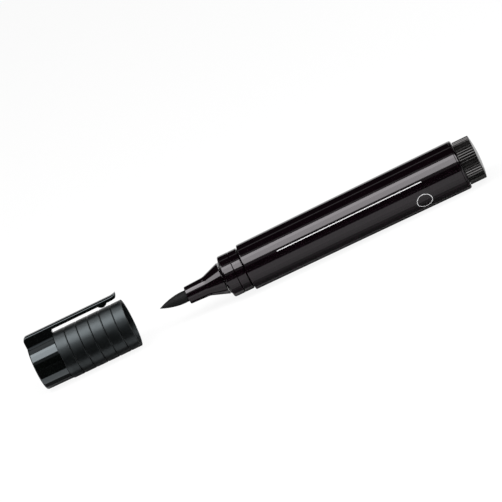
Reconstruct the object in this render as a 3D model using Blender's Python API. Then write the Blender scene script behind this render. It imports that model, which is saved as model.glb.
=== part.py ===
"""Brush pen lying on its side, with its cap drawn straight off the front.

Constants are in millimetres.  The pen's axis runs along X: the nib and the cap point to -X, the
ribbed end plug to +X, and the clip stands up along +Z.  Pieces of the pen are drawn from the
barrel's front shoulder (x = 0, plug at +x), pieces of the cap from the cap's mouth (x = 0, crown
at -x), so the cap is on the pen when its mouth meets the shoulder.
"""

import math

import bmesh
import bpy

MM = 0.001

# Fits
SEAT_GAP = 0.3
RADIAL_GAP = 0.2
DRAW_OFF = 41.93
LEAD_IN = 0.3
EDGE_BREAK = 0.15

# Facets round a turned piece
ROUND = 28
FINE_ROUND = 24
ARC_STEP = math.radians(32)
SMOOTH_ANGLE = math.radians(32)

# Barrel: a tube that widens towards the rear
BARREL_LENGTH = 78.38
BARREL_FRONT_RADIUS = 8.04
BARREL_REAR_RADIUS = 8.6
BARREL_BORE = 6.95
BARREL_FRONT_FILLET = 0.18
BARREL_REAR_FILLET = 0.85
BARREL_RIBS = 6
BARREL_RIB_WIDTH = 0.8
BARREL_RIB_HEIGHT = 0.3
BARREL_RIB_SETBACK = 1.0

# Front section: nozzle, cone, neck, grooved collar and spigot
NOZZLE_X = -21.55
NOZZLE_RADIUS = 3.05
NOZZLE_FILLET = 0.25
NOZZLE_BORE = 2.3
CONE_FRONT_X = -14.68
CONE_FRONT_RADIUS = 3.33
CONE_REAR_RADIUS = 5.62
CONE_BLEND = 4.0
NECK_WIDTH = 0.8
NECK_RADIUS = 3.8
COLLAR_RADIUS = 7.28
COLLAR_LENGTH = 7.47
COLLAR_FILLET = 0.55
COLLAR_WALL = 1.4
COLLAR_GROOVE_X = -3.54
COLLAR_GROOVE_HALF = 0.18
COLLAR_GROOVE_DEPTH = 0.26
RELIEF_FRONT_X = -0.45
RELIEF_REAR_X = 0.5
RELIEF_RADIUS = 6.35
SPIGOT_LENGTH = 8.5
SPIGOT_WALL = 0.95
NIB_TUBE_RADIUS = 3.05
NIB_TUBE_END = 6.0

# Brush nib
NIB_TIP_X = -31.75
NIB_RADIUS = 2.01
NIB_POINT_LENGTH = 8.9
NIB_REAR_X = 17.0
NIB_REAR_CHAMFER = 0.6
NIB_REAR_CHAMFER_LENGTH = 0.9

# Ink reservoir and its film wrap
RESERVOIR_FRONT_X = 9.0
RESERVOIR_REAR_X = 70.6
RESERVOIR_RADIUS = 6.0
RESERVOIR_SOCKET_X = 18.0
WRAP_WALL = 0.25

# End plug
PLUG_RADIUS = 7.57
PLUG_GAP = 0.1
PLUG_HEAD_LENGTH = 5.36
PLUG_DOME = 1.09
PLUG_DOME_STATIONS = (0.85, 0.6, 0.3)
PLUG_SPIGOT_LENGTH = 7.4
PLUG_WALL = 1.15
PLUG_END_THICKNESS = 1.6
PLUG_RIBS = 50
PLUG_GROOVE_DEPTH = 0.3
PLUG_GROOVE_WIDTH = 0.6
PLUG_GROOVE_TURN = math.radians(-2.5)
PLUG_PLAIN_EDGE = 0.2

# Cap: crown, grooved sleeve and inner cap
SLEEVE_LENGTH = 24.88
SLEEVE_RADIUS = 8.4
SLEEVE_BORE = 7.5
SLEEVE_GROOVES = 5
SLEEVE_FIRST_GROOVE_X = -20.73
SLEEVE_GROOVE_PITCH = 4.25
SLEEVE_GROOVE_WIDTH = 0.5
SLEEVE_GROOVE_DEPTH = 0.24
SLEEVE_MOUTH_FILLET = 0.35
CROWN_LENGTH = 9.79
CROWN_END_RADIUS = 8.08
CROWN_END_FILLET = 0.55
CROWN_REAR_RADIUS = 8.2
CROWN_WALL = 1.5
CROWN_SPIGOT_LENGTH = 6.0
CROWN_SPIGOT_WALL = 0.8
INNER_CAP_FLOOR = 0.8
INNER_CAP_MOUTH_X = -15.6
INNER_CAP_BORE = 3.7
INNER_CAP_DEEP_BORE = 3.45
INNER_CAP_WALL = 0.85
INNER_CAP_LIP = 0.2

# Clip: heights are measured from the axis
CLIP_WIDTH = 2.7
CLIP_OUTER = 11.45
CLIP_INNER = 10.11
CLIP_CROWNING = 0.1
CLIP_EDGE = 0.28
CLIP_ROOT_CORNER = 1.45
CLIP_ROOT_SINK = 0.9
CLIP_ROOT_INSET = 0.05
CLIP_ROOT_OVERHANG = 0.45
CLIP_SLIT_FILLET = 0.6
CLIP_TIP_X = -0.25
CLIP_TIP_BLUNT = 0.04
CLIP_TIP_CORNER = 0.8
CLIP_TIP_FLARE = 0.62
CLIP_TIP_FLARE_LENGTH = 2.0
CLIP_TIP_RISE = 0.95
CLIP_TIP_RISE_LENGTH = 0.8
CLIP_NUB_X = -5.77
CLIP_NUB_HALF = 1.68
CLIP_NUB_DEPTH = 0.88

# Places along X and the height of the axis, worked out from the above
CAP_LENGTH = SLEEVE_LENGTH + CROWN_LENGTH
PEN_REAR_X = BARREL_LENGTH + PLUG_GAP + PLUG_HEAD_LENGTH + PLUG_DOME
OVERALL_LENGTH = PEN_REAR_X + SEAT_GAP + DRAW_OFF + CAP_LENGTH
SHOULDER_X = OVERALL_LENGTH / 2 - PEN_REAR_X
MOUTH_X = CAP_LENGTH - OVERALL_LENGTH / 2
AXIS_HEIGHT = BARREL_REAR_RADIUS * math.cos(math.pi / ROUND)
CROWN_REAR_X = -SLEEVE_LENGTH - RADIAL_GAP
CLIP_ARM_X = CROWN_REAR_X + CLIP_ROOT_OVERHANG + CLIP_SLIT_FILLET
CLIP_HINGE_X = CLIP_ARM_X + RADIAL_GAP
CLIP_HINGE_HEIGHT = (CLIP_OUTER + CLIP_INNER) / 2

GLOSS_BLACK = {"color": (0.012, 0.010, 0.012), "roughness": 0.12}
SATIN_CHARCOAL = {"color": (0.030, 0.034, 0.036), "roughness": 0.42}
PLUG_CHARCOAL = {"color": (0.026, 0.025, 0.025), "roughness": 0.38}
NIB_FELT = {"color": (0.024, 0.024, 0.025), "roughness": 0.85}
INKED_FIBRE = {"color": (0.010, 0.010, 0.012), "roughness": 0.95}
CLEAR_FILM = {"color": (0.55, 0.56, 0.58), "roughness": 0.25}
SEAL_BLACK = {"color": (0.018, 0.018, 0.018), "roughness": 0.5}


def clear_scene():
    for item in list(bpy.data.objects):
        bpy.data.objects.remove(item, do_unlink=True)


def axis_empty(name, place, parent=None):
    """An empty on a joint's axis that carries the pieces which move together."""
    empty = bpy.data.objects.new(name, None)
    empty.empty_display_size = 5 * MM
    empty.location = [value * MM for value in place]
    empty.parent = parent
    bpy.context.scene.collection.objects.link(empty)
    return empty


def surface(name, look):
    material = bpy.data.materials.new(name)
    material.use_nodes = True
    shader = material.node_tree.nodes["Principled BSDF"]
    shader.inputs["Base Color"].default_value = (*look["color"], 1.0)
    shader.inputs["Roughness"].default_value = look["roughness"]
    shader.inputs["Metallic"].default_value = 0.0
    return material


def make_object(name, form, look, parent):
    """Turn a bmesh, drawn in millimetres, into a named object with its own material."""
    bmesh.ops.scale(form, vec=(MM, MM, MM), verts=form.verts)
    bmesh.ops.recalc_face_normals(form, faces=form.faces)
    mesh = bpy.data.meshes.new(name)
    form.to_mesh(mesh)
    form.free()
    mesh.shade_smooth()
    mesh.set_sharp_from_angle(angle=SMOOTH_ANGLE)
    piece = bpy.data.objects.new(name, mesh)
    piece.parent = parent
    bpy.context.scene.collection.objects.link(piece)
    if look:
        mesh.materials.append(surface(name, look))
    return piece


def combine(piece, name, form, operation):
    """Join a hidden form to a piece, or cut it away, with a Boolean modifier."""
    operand = make_object(name, form, None, piece.parent)
    operand.hide_render = True
    operand.display_type = "WIRE"
    modifier = piece.modifiers.new(name, "BOOLEAN")
    modifier.operation = operation
    modifier.solver = "EXACT"
    modifier.object = operand


def rounded(points, closed=True):
    """Outline with an arc at each (a, b, radius) corner, and plain (a, b) points as they are."""
    outline = []
    count = len(points)
    for index, point in enumerate(points):
        radius = point[2] if len(point) > 2 else 0.0
        at_end = not closed and index in (0, count - 1)
        if radius == 0.0 or at_end:
            outline.append((point[0], point[1]))
            continue
        before = points[index - 1]
        after = points[(index + 1) % count]
        to_before = math.atan2(before[1] - point[1], before[0] - point[0])
        to_after = math.atan2(after[1] - point[1], after[0] - point[0])
        turn = (to_after - to_before + math.pi) % (2 * math.pi) - math.pi
        middle = to_before + turn / 2
        reach = radius / math.sin(abs(turn) / 2)
        centre = (point[0] + reach * math.cos(middle), point[1] + reach * math.sin(middle))
        span = math.copysign(math.pi - abs(turn), turn)
        start = to_before - math.copysign(math.pi / 2, turn)
        steps = max(2, math.ceil(abs(span) / ARC_STEP))
        for step in range(steps + 1):
            angle = start - span * step / steps
            outline.append((centre[0] + radius * math.cos(angle), centre[1] + radius * math.sin(angle)))
    return outline


def turned(name, points, look, parent, segments=ROUND):
    """Solid of revolution about X.  An outline that begins and ends at radius 0 is left open there."""
    closed = points[0][1] > 0
    outline = rounded(points, closed)
    half_facet = math.pi / segments
    form = bmesh.new()
    verts = []
    for x, radius in outline:
        verts.append(form.verts.new((x, radius * math.sin(half_facet), -radius * math.cos(half_facet))))
    edges = [form.edges.new(pair) for pair in zip(verts, verts[1:])]
    if closed:
        edges.append(form.edges.new((verts[-1], verts[0])))
    bmesh.ops.spin(form, geom=verts + edges, cent=(0, 0, 0), axis=(1, 0, 0), angle=2 * math.pi,
                   steps=segments, use_merge=True)
    bmesh.ops.remove_doubles(form, verts=form.verts, dist=1e-5)
    return make_object(name, form, look, parent)


def spun(points, angle):
    """Points turned about X by an angle."""
    cosine = math.cos(angle)
    sine = math.sin(angle)
    return [(x, y * cosine - z * sine, y * sine + z * cosine) for x, y, z in points]


def lofted(rings, form=None):
    """Closed form through rings of points that all have the same count, added to a given form if any."""
    form = form or bmesh.new()
    loops = [[form.verts.new(point) for point in ring] for ring in rings]
    for first, second in zip(loops, loops[1:]):
        count = len(first)
        for index in range(count):
            following = (index + 1) % count
            form.faces.new((first[index], first[following], second[following], second[index]))
    form.faces.new(loops[0])
    form.faces.new(loops[-1])
    return form


def build_barrel(pen):
    barrel = turned("barrel", [
        (0.0, BARREL_BORE),
        (0.0, BARREL_FRONT_RADIUS, BARREL_FRONT_FILLET),
        (BARREL_LENGTH, BARREL_REAR_RADIUS, BARREL_REAR_FILLET),
        (BARREL_LENGTH, BARREL_BORE),
    ], GLOSS_BLACK, pen)

    # Ribs along the bore hold the reservoir centred and leave air channels between them
    ribs = bmesh.new()
    side = BARREL_RIB_WIDTH / 2
    foot = BARREL_BORE + BARREL_RIB_HEIGHT
    crest = BARREL_BORE - BARREL_RIB_HEIGHT
    ends = (RESERVOIR_FRONT_X + BARREL_RIB_SETBACK, RESERVOIR_REAR_X - BARREL_RIB_SETBACK)
    for index in range(BARREL_RIBS):
        angle = 2 * math.pi * index / BARREL_RIBS
        rings = []
        for x in ends:
            ring = [(x, -side, foot), (x, side, foot), (x, side, crest), (x, -side, crest)]
            rings.append(spun(ring, angle))
        lofted(rings, ribs)
    combine(barrel, "barrel_rib_forms", ribs, "UNION")


def build_front_section(pen):
    spigot_radius = BARREL_BORE - RADIAL_GAP
    inside = spigot_radius - SPIGOT_WALL
    cone_rear = -COLLAR_LENGTH - NECK_WIDTH
    hollow = COLLAR_WALL - COLLAR_LENGTH
    turned("front_section", [
        (NOZZLE_X, NOZZLE_BORE),
        (NOZZLE_X, NOZZLE_RADIUS, NOZZLE_FILLET),
        (CONE_FRONT_X, CONE_FRONT_RADIUS, CONE_BLEND),
        (cone_rear, CONE_REAR_RADIUS, EDGE_BREAK),
        (cone_rear, NECK_RADIUS),
        (-COLLAR_LENGTH, NECK_RADIUS),
        (-COLLAR_LENGTH, COLLAR_RADIUS, COLLAR_FILLET),
        (COLLAR_GROOVE_X - COLLAR_GROOVE_HALF, COLLAR_RADIUS),
        (COLLAR_GROOVE_X, COLLAR_RADIUS - COLLAR_GROOVE_DEPTH),
        (COLLAR_GROOVE_X + COLLAR_GROOVE_HALF, COLLAR_RADIUS),
        (RELIEF_FRONT_X, COLLAR_RADIUS, EDGE_BREAK),
        (RELIEF_FRONT_X, RELIEF_RADIUS),
        (RELIEF_REAR_X, RELIEF_RADIUS),
        (RELIEF_REAR_X, spigot_radius),
        (SPIGOT_LENGTH, spigot_radius, LEAD_IN),
        (SPIGOT_LENGTH, inside),
        (hollow, inside),
        (hollow, NIB_TUBE_RADIUS),
        (NIB_TUBE_END, NIB_TUBE_RADIUS),
        (NIB_TUBE_END, NOZZLE_BORE),
    ], GLOSS_BLACK, pen)


def build_nib(pen):
    steps = 9
    point = []
    for step in range(1, steps + 1):
        along = step / steps
        point.append((NIB_TIP_X + NIB_POINT_LENGTH * along, NIB_RADIUS * (1 - (1 - along) ** 2)))
    turned("brush_nib", [(NIB_TIP_X, 0.0)] + point + [
        (NIB_REAR_X - NIB_REAR_CHAMFER_LENGTH, NIB_RADIUS),
        (NIB_REAR_X, NIB_RADIUS - NIB_REAR_CHAMFER),
        (NIB_REAR_X, 0.0),
    ], NIB_FELT, pen, FINE_ROUND)


def build_reservoir(pen):
    socket = NIB_RADIUS + SEAT_GAP
    turned("ink_reservoir", [
        (RESERVOIR_SOCKET_X, 0.0),
        (RESERVOIR_SOCKET_X, socket),
        (RESERVOIR_FRONT_X, socket),
        (RESERVOIR_FRONT_X, RESERVOIR_RADIUS, LEAD_IN),
        (RESERVOIR_REAR_X, RESERVOIR_RADIUS, LEAD_IN),
        (RESERVOIR_REAR_X, 0.0),
    ], INKED_FIBRE, pen, FINE_ROUND)

    wrap_bore = RESERVOIR_RADIUS + RADIAL_GAP
    turned("reservoir_wrap", [
        (RESERVOIR_FRONT_X, wrap_bore),
        (RESERVOIR_FRONT_X, wrap_bore + WRAP_WALL),
        (RESERVOIR_REAR_X, wrap_bore + WRAP_WALL),
        (RESERVOIR_REAR_X, wrap_bore),
    ], CLEAR_FILM, pen)


def build_end_plug(pen):
    head_front = BARREL_LENGTH + PLUG_GAP
    head_rear = head_front + PLUG_HEAD_LENGTH
    spigot_radius = BARREL_BORE - RADIAL_GAP
    inside = spigot_radius - PLUG_WALL
    floor = head_rear - PLUG_END_THICKNESS
    dome = []
    for share in PLUG_DOME_STATIONS:
        dome.append((head_rear + PLUG_DOME * (1 - share ** 2), PLUG_RADIUS * share))
    plug = turned("end_plug", [
        (floor, 0.0),
        (floor, inside),
        (BARREL_LENGTH - PLUG_SPIGOT_LENGTH, inside),
        (BARREL_LENGTH - PLUG_SPIGOT_LENGTH, spigot_radius, LEAD_IN),
        (head_front, spigot_radius),
        (head_front, PLUG_RADIUS, EDGE_BREAK),
        (head_rear, PLUG_RADIUS, LEAD_IN),
    ] + dome + [(head_rear + PLUG_DOME, 0.0)], PLUG_CHARCOAL, pen, PLUG_RIBS)

    # Grip ribs: a V groove between each pair, cut from near the barrel to near the domed end
    grooves = bmesh.new()
    outside = PLUG_RADIUS + PLUG_GROOVE_DEPTH
    bottom = PLUG_RADIUS - PLUG_GROOVE_DEPTH
    ends = (head_front + PLUG_PLAIN_EDGE, head_rear - PLUG_PLAIN_EDGE)
    for index in range(PLUG_RIBS):
        angle = 2 * math.pi * (index + 0.5) / PLUG_RIBS + PLUG_GROOVE_TURN
        rings = []
        for x in ends:
            ring = [(x, -PLUG_GROOVE_WIDTH, outside), (x, PLUG_GROOVE_WIDTH, outside), (x, 0, bottom)]
            rings.append(spun(ring, angle))
        lofted(rings, grooves)
    combine(plug, "plug_groove_forms", grooves, "DIFFERENCE")


def build_cap_crown(cap):
    spigot_radius = SLEEVE_BORE - RADIAL_GAP
    inside = spigot_radius - CROWN_SPIGOT_WALL
    spigot_end = CROWN_REAR_X + CROWN_SPIGOT_LENGTH
    crown = turned("cap_crown", [
        (-CAP_LENGTH, 0.0),
        (-CAP_LENGTH, CROWN_END_RADIUS, CROWN_END_FILLET),
        (CROWN_REAR_X, CROWN_REAR_RADIUS),
        (CROWN_REAR_X, spigot_radius),
        (spigot_end, spigot_radius, LEAD_IN),
        (spigot_end, inside),
        (CROWN_WALL - CAP_LENGTH, inside),
        (CROWN_WALL - CAP_LENGTH, 0.0),
    ], GLOSS_BLACK, cap)
    combine(crown, "clip_root_form", clip_root(), "UNION")


def clip_root():
    """Block that carries the clip: a side outline, extruded across the clip's width."""
    sunk = CROWN_END_RADIUS - CLIP_ROOT_SINK
    front = CLIP_ROOT_INSET - CAP_LENGTH
    rear = CROWN_REAR_X - CLIP_ROOT_INSET
    over_sleeve = CROWN_REAR_X + CLIP_ROOT_OVERHANG
    underside = SLEEVE_RADIUS + SEAT_GAP
    shoulder = CLIP_OUTER - CLIP_CROWNING
    side = rounded([
        (front, sunk),
        (rear, sunk),
        (rear, underside),
        (over_sleeve, underside),
        (over_sleeve, CLIP_INNER, CLIP_SLIT_FILLET),
        (CLIP_ARM_X, CLIP_INNER),
        (CLIP_ARM_X, shoulder),
        (front, shoulder, CLIP_ROOT_CORNER),
    ])
    return lofted([[(x, side_y, z) for x, z in side] for side_y in (-CLIP_WIDTH / 2, CLIP_WIDTH / 2)])


def build_cap_sleeve(cap):
    half = SLEEVE_GROOVE_WIDTH / 2
    outline = [(-SLEEVE_LENGTH, SLEEVE_BORE), (-SLEEVE_LENGTH, SLEEVE_RADIUS, EDGE_BREAK)]
    for index in range(SLEEVE_GROOVES):
        x = SLEEVE_FIRST_GROOVE_X + SLEEVE_GROOVE_PITCH * index
        outline.append((x - half, SLEEVE_RADIUS))
        outline.append((x, SLEEVE_RADIUS - SLEEVE_GROOVE_DEPTH))
        outline.append((x + half, SLEEVE_RADIUS))
    outline += [(0.0, SLEEVE_RADIUS, SLEEVE_MOUTH_FILLET), (0.0, SLEEVE_BORE, LEAD_IN)]
    turned("cap_sleeve", outline, SATIN_CHARCOAL, cap)


def build_inner_cap(cap):
    base = CROWN_WALL - CAP_LENGTH + RADIAL_GAP
    floor = base + INNER_CAP_FLOOR
    flange = SLEEVE_BORE - 2 * RADIAL_GAP - CROWN_SPIGOT_WALL
    turned("inner_cap", [
        (base, 0.0),
        (base, flange),
        (floor, flange),
        (floor, INNER_CAP_DEEP_BORE + INNER_CAP_WALL),
        (INNER_CAP_MOUTH_X, INNER_CAP_BORE + INNER_CAP_WALL, INNER_CAP_LIP),
        (INNER_CAP_MOUTH_X, INNER_CAP_BORE, INNER_CAP_LIP),
        (floor, INNER_CAP_DEEP_BORE),
        (floor, 0.0),
    ], SEAL_BLACK, cap, FINE_ROUND)


def clip_section(x):
    """Ring of points across the clip at x, in the clip's own frame on its hinge."""
    from_tip = CLIP_TIP_X - x
    half = CLIP_WIDTH / 2
    if from_tip < CLIP_TIP_CORNER:
        inset = CLIP_TIP_CORNER - from_tip
        half += math.sqrt(CLIP_TIP_CORNER ** 2 - inset ** 2) - CLIP_TIP_CORNER
    flare = max(0.0, 1 - from_tip / CLIP_TIP_FLARE_LENGTH) ** 2
    top = CLIP_OUTER + CLIP_TIP_FLARE * flare
    rise = max(0.0, 1 - from_tip / CLIP_TIP_RISE_LENGTH)
    bottom = CLIP_INNER + CLIP_TIP_FLARE * flare + CLIP_TIP_RISE * rise
    off_nub = (x - CLIP_NUB_X) / CLIP_NUB_HALF
    bottom -= CLIP_NUB_DEPTH * max(0.0, 1 - off_nub ** 2)
    edge = min(CLIP_EDGE, (top - bottom) / 3)
    outline = rounded([
        (-half, bottom, edge / 2),
        (half, bottom, edge / 2),
        (half, top - CLIP_CROWNING, edge),
        (0.0, top),
        (-half, top - CLIP_CROWNING, edge),
    ])
    return [(x - CLIP_HINGE_X, y, z - CLIP_HINGE_HEIGHT) for y, z in outline]


def build_clip(hinge):
    nub_steps = 8
    tip_steps = 6
    stations = [CLIP_HINGE_X]
    for step in range(nub_steps + 1):
        stations.append(CLIP_NUB_X + CLIP_NUB_HALF * (2 * step / nub_steps - 1))
    for step in range(tip_steps + 1):
        stations.append(CLIP_TIP_X - CLIP_TIP_BLUNT - CLIP_TIP_FLARE_LENGTH * (1 - step / tip_steps))
    form = lofted([clip_section(x) for x in stations])
    make_object("clip", form, GLOSS_BLACK, hinge)


def main():
    clear_scene()
    pen = axis_empty("pen_axis", (SHOULDER_X, 0, AXIS_HEIGHT))
    build_barrel(pen)
    build_front_section(pen)
    build_nib(pen)
    build_reservoir(pen)
    build_end_plug(pen)
    cap = axis_empty("cap_axis", (MOUTH_X, 0, AXIS_HEIGHT))
    build_cap_crown(cap)
    build_cap_sleeve(cap)
    build_inner_cap(cap)
    hinge = axis_empty("clip_hinge", (CLIP_HINGE_X, 0, CLIP_HINGE_HEIGHT), cap)
    build_clip(hinge)


main()
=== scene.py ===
"""Looks of the brush pen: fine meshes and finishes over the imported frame.

Sizes are in millimetres until a piece is made.  As in the frame, pieces of the pen are drawn from
the barrel's front shoulder (x = 0, plug at +x) and pieces of the cap from the cap's mouth (x = 0,
crown at -x), all about the pen's axis.
"""

import math

import bmesh
import bpy
from mathutils import Matrix, Vector


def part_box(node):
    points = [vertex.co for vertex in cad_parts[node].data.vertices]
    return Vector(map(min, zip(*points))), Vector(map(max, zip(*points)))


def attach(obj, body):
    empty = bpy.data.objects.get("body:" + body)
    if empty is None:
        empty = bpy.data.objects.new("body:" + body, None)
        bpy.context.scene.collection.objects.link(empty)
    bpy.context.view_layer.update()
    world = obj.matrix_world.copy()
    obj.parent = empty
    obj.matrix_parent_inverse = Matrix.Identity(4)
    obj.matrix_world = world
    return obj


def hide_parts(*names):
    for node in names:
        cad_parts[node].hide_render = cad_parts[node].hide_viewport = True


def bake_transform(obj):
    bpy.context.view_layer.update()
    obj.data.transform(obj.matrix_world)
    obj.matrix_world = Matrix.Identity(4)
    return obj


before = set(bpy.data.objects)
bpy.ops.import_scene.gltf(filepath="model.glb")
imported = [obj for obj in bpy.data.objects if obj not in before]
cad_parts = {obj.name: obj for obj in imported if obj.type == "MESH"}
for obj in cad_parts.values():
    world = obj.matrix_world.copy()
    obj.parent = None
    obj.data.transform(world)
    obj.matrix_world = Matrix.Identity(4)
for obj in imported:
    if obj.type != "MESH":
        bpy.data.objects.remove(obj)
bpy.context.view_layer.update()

MM = 0.001

# Datums read from the frame
BARREL_LOW, BARREL_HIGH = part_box("barrel")
CAP_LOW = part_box("cap_crown")[0]
SLEEVE_LOW, SLEEVE_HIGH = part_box("cap_sleeve")
AXIS_HEIGHT = (BARREL_LOW.z + BARREL_HIGH.z) / 2
PEN_ORIGIN = Vector((BARREL_LOW.x, 0.0, AXIS_HEIGHT))
CAP_ORIGIN = Vector((SLEEVE_HIGH.x, 0.0, AXIS_HEIGHT))

# Mesh fineness; a support ring lies this far beside each corner
SEGMENTS = 160
ARC_STEP = math.radians(9)
SUPPORT = 0.05
POLE_RADIUS = 1e-6
SMOOTH_ANGLE = math.radians(38)

# Barrel
BARREL_LENGTH = (BARREL_HIGH.x - BARREL_LOW.x) / MM
BARREL_FRONT_RADIUS = 8.04
BARREL_REAR_RADIUS = 8.6
BARREL_BORE = 6.95
BARREL_FRONT_FILLET = 0.28
BARREL_REAR_FILLET = 0.8
BARREL_LINE_FROM_REAR = 0.92
BARREL_LINE_HALF = 0.1
BARREL_LINE_DEPTH = 0.09

# Front section; the neck is a narrow slot before a slanted lip, and so is the relief before the barrel
NOZZLE_X = -21.55
NOZZLE_RADIUS = 3.05
NOZZLE_FILLET = 0.22
NOZZLE_BORE = 2.3
NOZZLE_BORE_FILLET = 0.1
CONE_FRONT_X = -14.68
CONE_FRONT_RADIUS = 3.33
CONE_REAR_RADIUS = 5.62
CONE_REAR_FILLET = 0.12
CONE_BLEND = 4.0
NECK_WIDTH = 0.8
NECK_SLOT = 0.09
NECK_LIP = 0.25
NECK_RADIUS = 2.8
NECK_LIP_RADIUS = 5.5
NECK_FOOT_RADIUS = 6.1
COLLAR_RADIUS = 7.28
COLLAR_LENGTH = 7.47
COLLAR_FILLET = 0.55
COLLAR_GROOVE_X = -3.54
COLLAR_GROOVE_HALF = 0.16
COLLAR_GROOVE_DEPTH = 0.26
COLLAR_GROOVE_EDGE = 0.05
RELIEF_FRONT_X = -0.48
RELIEF_REAR_X = -0.05
RELIEF_SLOT = 0.08
RELIEF_RADIUS = 5.9
RELIEF_FOOT_RADIUS = 7.24
RELIEF_FILLET = 0.1
SPIGOT_RADIUS = 6.75
SPIGOT_LENGTH = 8.5
SPIGOT_FILLET = 0.3

# Brush nib, with coarse and fine flutes that twist in radians per millimetre
NIB_TIP_X = -31.75
NIB_RADIUS = 2.01
NIB_POINT_LENGTH = 8.9
NIB_SEAT_DEPTH = 1.0
NIB_REAR_X = 17.0
NIB_SHANK_INSET = 0.04
NIB_REAR_CHAMFER = 0.6
NIB_REAR_CHAMFER_LENGTH = 0.9
NIB_FLUTE_DEPTH = 0.018
NIB_FLUTES = 23
NIB_FLUTE_TWIST = 0.4
NIB_FINE_FLUTES = 31
NIB_FINE_TWIST = -0.7
NIB_FINE_SHARE = 0.6
NIB_TIP_CROWDING = 1.6

# End plug; the profile is the share of the groove's depth at even steps round one rib
PLUG_RADIUS = 7.57
PLUG_GAP = 0.1
PLUG_HEAD_LENGTH = 5.66
PLUG_DOME = 0.79
PLUG_FRONT_FILLET = 0.12
PLUG_REAR_FILLET = 0.3
PLUG_RIBS = 50
PLUG_GROOVE_DEPTH = 0.38
PLUG_GROOVE_TURN = math.radians(0.5)
PLUG_RIB_PROFILE = (1.0, 0.76, 0.52, 0.28, 0.045, 0.012, 0.0, 0.012, 0.045, 0.28, 0.52, 0.76)
PLUG_SPIGOT_LENGTH = 7.4

# Cap; a face of the sleeve that leans out or in by less than the rim's lean belongs to a rim
CAP_LENGTH = (SLEEVE_HIGH.x - CAP_LOW.x) / MM
SLEEVE_LENGTH = (SLEEVE_HIGH.x - SLEEVE_LOW.x) / MM
SLEEVE_RADIUS = 8.4
SLEEVE_BORE = 7.5
SLEEVE_REAR_FILLET = 0.15
SLEEVE_MOUTH_FILLET = 0.08
SLEEVE_BORE_FILLET = 0.1
SLEEVE_RIM_LEAN = 0.5
SLEEVE_GROOVES = 5
SLEEVE_FIRST_GROOVE_X = -20.88
SLEEVE_GROOVE_PITCH = 4.25
SLEEVE_GROOVE_HALF = 0.28
SLEEVE_GROOVE_DEPTH = 0.22
SLEEVE_GROOVE_EDGE = 0.12
SLEEVE_CORE_HALF = 0.07
SLEEVE_CORE_DEPTH = 0.165
CROWN_GAP = 0.2
CROWN_REAR_X = -SLEEVE_LENGTH - CROWN_GAP
CROWN_END_RADIUS = 8.08
CROWN_REAR_RADIUS = 8.2
CROWN_FILLET = 0.55
CROWN_FACE_SHARE = 0.97
CROWN_WALL = 1.5
CROWN_SPIGOT_RADIUS = 7.3
CROWN_SPIGOT_BORE = 6.5
CROWN_SPIGOT_LENGTH = 6.0
INNER_CAP_MOUTH_X = -15.6
INNER_CAP_FLOOR = 1.0
INNER_CAP_FLOOR_X = CROWN_WALL - CAP_LENGTH + INNER_CAP_FLOOR
INNER_CAP_BORE = 3.7
INNER_CAP_DEEP_BORE = 3.45
INNER_CAP_WALL = 0.85
INNER_CAP_FLANGE = 6.3
INNER_CAP_ROOT_FILLET = 0.4
INNER_CAP_LIP = 0.25
INNER_CAP_SEGMENTS = 96

# Clip, with heights from the axis; the leads keep the arm's even rings clear of the slit and the nub
CLIP_HALF_WIDTH = 1.35
CLIP_OUTER = 11.45
CLIP_INNER = 10.11
CLIP_CROWNING = 0.06
CLIP_EDGE = 0.44
CLIP_ROOT_CORNER = 1.45
CLIP_ROOT_EDGE = 0.06
CLIP_ROOT_OVERHANG = 0.45
CLIP_ROOT_UNDERSIDE = 8.7
CLIP_SLIT_FILLET = 0.6
CLIP_SLIT_STEP = 0.01
CLIP_ARM_X = CROWN_REAR_X + CLIP_ROOT_OVERHANG
CLIP_ARM_LEAD = 0.75
CLIP_TIP_X = -0.25
CLIP_TIP_BLUNT = 0.02
CLIP_TIP_CORNER = 0.8
CLIP_TIP_FLARE = 0.62
CLIP_TIP_FLARE_LENGTH = 2.0
CLIP_TIP_ROUND = 0.85
CLIP_NUB_X = -5.77
CLIP_NUB_HALF = 1.68
CLIP_NUB_DEPTH = 0.88
CLIP_NUB_LEAD = 2.0

# Print on the barrel: a plain rule and a plain ring, by angle above the horizontal at the front
PRINT_PROUD = 0.02
PRINT_SUNK = 0.03
RULE_START_X = 11.9
RULE_END_X = 64.2
RULE_ANGLE = math.radians(20.1)
RULE_WIDTH = 0.27
RING_X = 62.6
RING_ANGLE = math.radians(-25.3)
RING_RADIUS = 2.72
RING_STROKE = 0.22

# Materials: refraction of a hard styrene plastic, the noise that is used, and fibres per metre across
PLASTIC_IOR = 1.57
NOISE_LOW = 0.3
NOISE_HIGH = 0.7
FIBRE_COUNT = 9000.0
FELT_GLOSS = 0.13
FELT_ROUGHNESS = 0.62

# Floor and backdrop, in metres
FLOOR_LEVEL = AXIS_HEIGHT - BARREL_REAR_RADIUS * MM
FLOOR_HALF = 4.0
WALL_Y = 2.6
WALL_ELEVATION = math.radians(21)
PAPER_SHADE = 0.9
PAPER_GLOW = 0.9

# Cards on the floor, seen only in reflections, which paint the bands in the black gloss; the dark ones
# under the pen and cap are painted shadow: where they meet, in metres
CARD_LIFT = 0.1 * MM
CARD_REACH = 2.0
CARD_CROWN_X = -0.0715
CARD_BETWEEN_X = -0.042
CARD_CONE_X = -0.016
CARD_FRONT_Y = -0.055
CARD_PEN_Y = -0.0165
CARD_CAP_Y = -0.0142
CARD_BESIDE_Y = -0.0124
CARD_EDGE_Y = -0.0098
CARD_UNDER_Y = -0.0076
CARD_MIDDLE_Y = -0.0046
CARD_REAR_Y = 0.012
CARD_SHADES = {
    "white": 0.98,
    "pale": 0.5,
    "soft": 0.42,
    "dim": 0.36,
    "dusk": 0.14,
    "grey": 0.07,
    "black": 0.02,
}

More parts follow.
